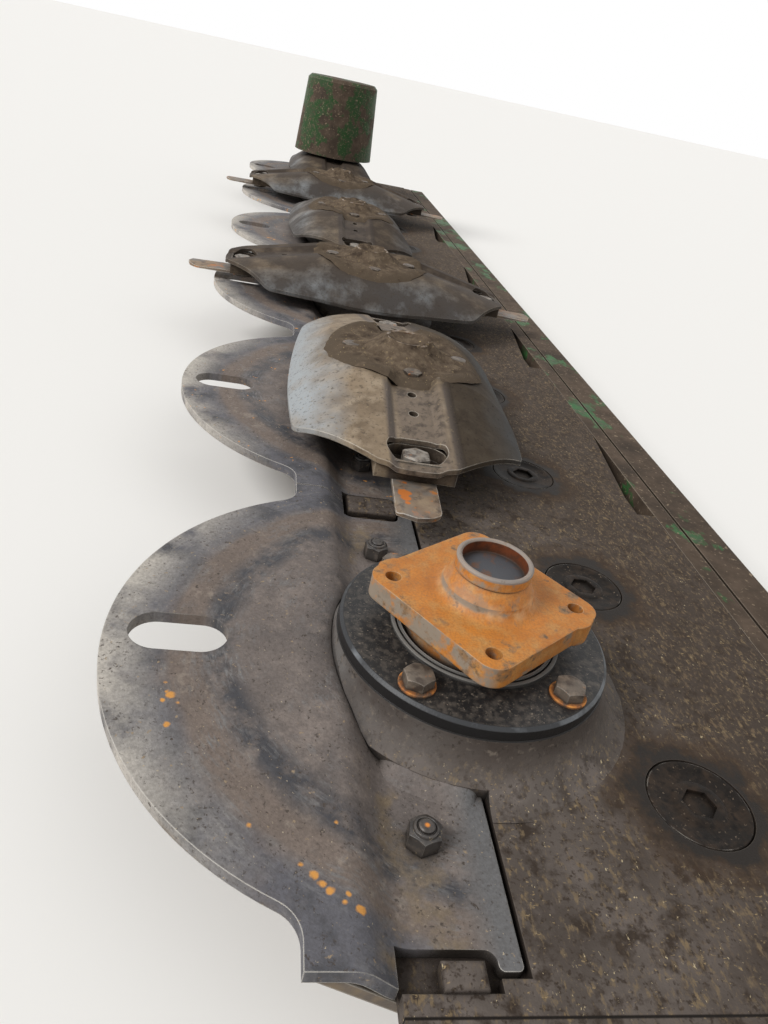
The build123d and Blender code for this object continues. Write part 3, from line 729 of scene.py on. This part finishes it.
class CUTTERBAR_OT_finish(bpy.types.Operator):
    """Gives each CAD node the finish of the real piece"""
    bl_idname = "cutter_bar.finish"
    bl_label = "Finish the castings and plates"

    def execute(self, context):
        give(["guard_1"], guard_steel("scoured_guard_plate_with_rust_spots", GUARD_RUST))
        give([f"guard_{n}" for n in disc_numbers], guard_steel("scoured_guard_plate", ()))
        give(["case", "end_plate_left", "end_plate_right", "guard_blocks"], case_steel())
        give([f"quill_{n}" for n in hub_numbers], black_casting())
        give(["hub_1"], hub_enamel("orange_enamel_hub", "C67E32", 0.05))
        give([f"hub_{n}" for n in disc_numbers], hub_enamel("worn_enamel_hub", "8A6238", 0.6))
        for n in disc_numbers:
            give([f"disc_{n}"], disc_steel(n))
        knives = [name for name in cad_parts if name.startswith("knife_") and "bolts" not in name]
        give(knives, knife_steel())
        give([f"knife_bolts_{n}" for n in disc_numbers], bolt_steel("knife_bolt_steel", "8C857C", 0.1))
        give(["rear_rail"], flaking_green("flaking_green_rail", 0.32, "2A5E30"))
        give([f"drum_{n}" for n in hub_numbers if f"drum_{n}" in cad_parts],
             flaking_green("worn_green_drum", 0.5, "22421F"))
        give([f"skid_shoe_{n}" for n in hub_numbers], shoe_steel())
        return {"FINISHED"}


class CUTTERBAR_OT_flange_bolts(bpy.types.Operator):
    """Sets the hexagon bolts and their washers on each quill's flange"""
    bl_idname = "cutter_bar.flange_bolts"
    bl_label = "Flange bolts"

    def execute(self, context):
        sizes = context.scene.cutter_bar_fasteners
        steel = bolt_steel("flange_bolt_steel", "655B51", 0.08)
        rust = rusty_washer()
        along, across = sizes.flange_along, sizes.flange_across
        washer_r = 11.5 * mm
        sheet = 1.8 * mm
        for n in hub_numbers:
            heads, washers = bmesh.new(), bmesh.new()
            for x, y in ((1, 1), (1, -1), (-1, 1), (-1, -1)):
                at = Vector((hub_at[n].x + x * along, hub_y + y * across, quill_top))
                place = Matrix.Translation(at) @ Matrix.Rotation(2 * x + 1.3 * y + n, 4, "Z")
                washer(washers, place, washer_r, sheet)
                on_washer = place @ Matrix.Translation((0, 0, sheet))
                hex_head(heads, on_washer, sizes.flange_flats, sizes.flange_head)
            new_piece(f"flange_bolts_{n}", heads, steel, "bar")
            new_piece(f"flange_washers_{n}", washers, rust, "bar")
        return {"FINISHED"}


class CUTTERBAR_OT_disc_bolts(bpy.types.Operator):
    """Sets the four bolts that hold each disc on its hub"""
    bl_idname = "cutter_bar.disc_bolts"
    bl_label = "Disc bolts"

    def execute(self, context):
        sizes = context.scene.cutter_bar_fasteners
        steel = bolt_steel("disc_bolt_steel", "5F564D", 0.08)
        head_height = 6.5 * mm
        for n in disc_numbers:
            bm = bmesh.new()
            middle = Matrix.Translation((hub_at[n].x, hub_y, hub_seat + disc_sheet))
            for k in range(4):
                place = (middle @ Matrix.Rotation(math.tau * k / 4, 4, "Z")
                         @ Matrix.Translation((sizes.disc_circle, 0, 0))
                         @ Matrix.Rotation(0.9 * k + n, 4, "Z"))
                hex_head(bm, place, sizes.disc_flats, head_height)
            new_piece(f"disc_bolts_{n}", bm, steel, f"rotor_{n}")
        return {"FINISHED"}


class CUTTERBAR_OT_guard_bolts(bpy.types.Operator):
    """Sets the nuts and studs on the guards' lower flanges"""
    bl_idname = "cutter_bar.guard_bolts"
    bl_label = "Guard bolts"

    def execute(self, context):
        sizes = context.scene.cutter_bar_fasteners
        steel = guard_nut()
        nut_height = 11 * mm
        # The nut's collar and the end of the stud in it, in millimetres
        collar = ((7.2, 9), (7.2, 11.6), (6.7, 12.6), (5.6, 12.9), (5, 12.2), (4.6, 12.2), (4.4, 13.4),
                  (3.6, 14))
        for n in hub_numbers:
            bm = bmesh.new()
            for side in (-1, 1):
                at = Vector((hub_at[n].x + side * guard_nut_along, hub_y - guard_nut_ahead, flange_top))
                place = Matrix.Translation(at) @ Matrix.Rotation(0.4 * side + n, 4, "Z")
                hex_head(bm, place, sizes.guard_flats, nut_height)
                turned(bm, place, [(r * mm, h * mm) for r, h in collar], 28)
            new_piece(f"guard_bolts_{n}", bm, steel, "bar")
        return {"FINISHED"}


class CUTTERBAR_OT_idler_plugs(bpy.types.Operator):
    """Sets the plugs of the idler gears, with their hexagon sockets, into the case's recesses"""
    bl_idname = "cutter_bar.idler_plugs"
    bl_label = "Idler plugs"

    def execute(self, context):
        steel = oily_plug()
        # From the rim over a shallow ring to the floor of the socket, in millimetres
        profile = ((32.4, 0), (32.4, 3.1), (31.6, 3.8), (28, 3.8), (27, 3.2), (17, 3.0), (15.5, 3.9),
                   (11, 3.9), (9.5, 3.6), (9.5, 1.0))
        socket_from = len(profile) - 3

        def socket(step, angle, radius, height):
            return radius if step < socket_from else hexagon(angle, radius), height

        for n in hub_numbers:
            bm = bmesh.new()
            for side in idler_sides:
                at = Vector((hub_at[n].x + side, hub_y + idler_back, case_top - idler_recess))
                place = Matrix.Translation(at) @ Matrix.Rotation(9 * side + n, 4, "Z")
                turned(bm, place, [(r * mm, h * mm) for r, h in profile], 60, socket)
            new_piece(f"idler_plugs_{n}", bm, steel, "bar")
        return {"FINISHED"}


class CUTTERBAR_OT_mud(bpy.types.Operator):
    """Cakes mud on the discs' middles, between the guards and along the quills' feet"""
    bl_idname = "cutter_bar.mud"
    bl_label = "Caked mud"

    def disc_form(self, along, across):
        """Height of a disc's top over its middle, in millimetres: channel, crests and falling wings."""
        across = abs(across)
        fall = end_fall * max(0.0, abs(along) - pad_r)
        if across < crest_outer:
            climb = (across - channel_half) / (crest_inner - channel_half)
            return crest_rise * min(1.0, max(0.0, climb)) - fall
        out = across - crest_outer
        return crest_rise + wing_bulge * out - wing_fall * out ** 2 - fall

    def bead(self, bm, n, start, end, profile, steps):
        """Adds a bead of packed dirt along an arc about a hub; its profile is in millimetres."""
        middle = Vector((hub_at[n].x, hub_y, flange_top))
        root = profile[0][0]
        rings = []
        for k in range(steps + 1):
            angle = math.radians(start + (end - start) * k / steps)
            out = Vector((math.cos(angle), math.sin(angle), 0))
            full = 1 - abs(2 * k / steps - 1) ** 8
            ring = []
            for radius, height in profile:
                point = middle + out * (root + (radius - root) * full) * mm
                rise = height * mm
                if height > 0:
                    rise = (rise + lumpy(point, 8 * mm, 0.12 * rise)) * full
                ring.append(bm.verts.new(point + Vector((0, 0, rise))))
            rings.append(ring)
        skin(bm, rings)

    def execute(self, context):
        mud = dried_mud()
        # The cake's outline in millimetres from a disc's seat, and how much each ring follows the disc
        profile = ((30, -2), (77, -2), (83, -2.5), (88, -2.5), (89, -1), (85, 0.4), (80, 1.1), (73, 2.0),
                   (65, 3.4), (54, 5.0), (44, 7.5), (36, 11.5), (30, 16), (25.6, 19.4), (24, 21.6),
                   (20, 20.6), (15, 17.5), (7, 15.5))
        follows = (0, 0, 1, 1, 1, 1, 1, 0.8, 0.5, 0.2, 0, 0, 0, 0, 0, 0, 0, 0)
        for n in disc_numbers:
            if f"drum_{n}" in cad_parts:
                continue
            bm = bmesh.new()
            place = Matrix.Translation((hub_at[n].x, hub_y, hub_seat + disc_sheet))
            turn = disc_turn(n)

            def cake(step, angle, radius, height, n=n, turn=turn):
                at = Vector((radius * math.cos(angle), radius * math.sin(angle), 31.0 * n)) * mm
                loose = min(1.0, max(0.0, step - 2))
                out = radius + lumpy(at, 22 * mm, 3.5 * mm) / mm * loose
                rise = self.disc_form(out * math.cos(angle - turn), out * math.sin(angle - turn))
                lump = lumpy(at, 13 * mm, (2.2 if step > 7 else 0.7) * mm) / mm * loose
                return out * mm, (height + follows[step] * rise + lump) * mm

            turned(bm, place, profile, 96, cake)
            new_piece(f"disc_mud_{n}", bm, mud, f"rotor_{n}")

        # Heaps between two guards: corners from the seam's middle and height over its floor, in millimetres
        heaps = (((-18, -66), (-13.5, -21), 4.5), ((13.5, -66), (18, -21), 4.0), ((-9, -20), (9, -5), 5.2))
        seam_floor = flange_top - 6 * mm
        seams = bmesh.new()
        for n in hub_numbers[:-1]:
            middle = Vector((hub_at[n].x - hub_pitch / 2, hub_y, seam_floor))
            for low, high, rise in heaps:
                heap(seams, middle + Vector((*low, 0)) * mm, middle + Vector((*high, 0)) * mm,
                     seam_floor + rise * mm, 1.2 * mm)
        new_piece("seam_mud", seams, mud, "bar")

        # Sections of the dirt in the guards' openings and round the rear of the quills' feet
        corner = ((101.2, -0.5), (114, -0.5), (109, 1.0), (104.5, 3.0), (101.2, 5.7))
        rim = ((112, -0.5), (127.5, -0.5), (123, 0.3), (118, 0.8), (112, 1.1))
        front, rear = bmesh.new(), bmesh.new()
        for n in hub_numbers:
            self.bead(front, n, -39, -5, corner, 36)
            self.bead(front, n, -175, -141, corner, 36)
            self.bead(rear, n, -1.5, 181.5, rim, 120)
        new_piece("opening_dirt", front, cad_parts["guard_1"].data.materials[0], "bar")
        new_piece("quill_foot_dirt", rear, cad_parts["case"].data.materials[0], "bar")
        return {"FINISHED"}


class CUTTERBAR_OT_stage(bpy.types.Operator):
    """Sets the floor, the soft lamps and the camera"""
    bl_idname = "cutter_bar.stage"
    bl_label = "Stage"

    def execute(self, context):
        stage = context.scene.cutter_bar_stage
        bm = bmesh.new()
        bmesh.ops.create_grid(bm, x_segments=1, y_segments=1, size=30)
        mesh = bpy.data.meshes.new("floor")
        bm.to_mesh(mesh)
        bm.free()
        floor = bpy.data.objects.new("floor", mesh)
        floor.location.z = -0.5 * mm
        context.scene.collection.objects.link(floor)
        paint = Finish("studio_floor")
        paint.shader.inputs["Base Color"].default_value = tuple(stage.floor)
        paint.shader.inputs["Roughness"].default_value = 0.9
        floor.data.materials.append(paint.material)

        world = bpy.data.worlds.new("studio")
        world.use_nodes = True
        context.scene.world = world
        tree = world.node_tree
        sky = tree.nodes["Background"]
        path = add(tree, "ShaderNodeLightPath", out="Is Camera Ray")
        glossy = add(tree, "ShaderNodeLightPath", out="Is Glossy Ray")
        seen = add(tree, MATH, path, glossy, operation="MAXIMUM")
        strength = add(tree, RANGE, seen, 0.0, 1.0, stage.sky, 1.0)
        tree.links.new(strength, sky.inputs["Strength"])
        sky.inputs["Color"].default_value = linear("FFFFFF")

        for name, towards, strength, spread in (
                ("key", (0.3, -0.85, 0.75), stage.key, 26), ("fill", (0.5, 0.5, 0.9), stage.fill, 50)):
            data = bpy.data.lights.new(name, "SUN")
            data.energy = strength
            data.angle = math.radians(spread)
            lamp = bpy.data.objects.new(name, data)
            lamp.rotation_euler = Vector(towards).to_track_quat("Z", "Y").to_euler()
            context.scene.collection.objects.link(lamp)

        data = bpy.data.cameras.new("camera")
        data.sensor_width = 36
        data.lens = stage.lens
        data.clip_start = 0.01
        camera = bpy.data.objects.new("camera", data)
        camera.matrix_world = (Matrix.Translation(stage.camera_at) @ Matrix.Rotation(stage.heading, 4, "Z")
                               @ Matrix.Rotation(math.radians(90) - stage.pitch, 4, "X")
                               @ Matrix.Rotation(stage.roll, 4, "Z"))
        context.scene.collection.objects.link(camera)
        context.scene.camera = camera
        context.scene.view_settings.view_transform = "Standard"
        return {"FINISHED"}


STEPS = (CUTTERBAR_OT_finish, CUTTERBAR_OT_flange_bolts, CUTTERBAR_OT_disc_bolts, CUTTERBAR_OT_guard_bolts,
         CUTTERBAR_OT_idler_plugs, CUTTERBAR_OT_mud, CUTTERBAR_OT_stage)


class CUTTERBAR_PT_panel(bpy.types.Panel):
    """Lists the bar's steps in the sidebar"""
    bl_label = "Cutter Bar"
    bl_space_type = "VIEW_3D"
    bl_region_type = "UI"
    bl_category = "Cutter Bar"

    def draw(self, context):
        for step in STEPS:
            self.layout.operator(step.bl_idname)


CLASSES = (CutterBarFasteners, CutterBarStage, *STEPS, CUTTERBAR_PT_panel)


def register():
    for cls in CLASSES:
        bpy.utils.register_class(cls)
    bpy.types.Scene.cutter_bar_fasteners = PointerProperty(type=CutterBarFasteners)
    bpy.types.Scene.cutter_bar_stage = PointerProperty(type=CutterBarStage)


def unregister():
    del bpy.types.Scene.cutter_bar_stage
    del bpy.types.Scene.cutter_bar_fasteners
    for cls in reversed(CLASSES):
        bpy.utils.unregister_class(cls)


def main():
    register()
    for step in STEPS:
        group, name = step.bl_idname.split(".")
        getattr(getattr(bpy.ops, group), name)()


if __name__ == "__main__":
    main()
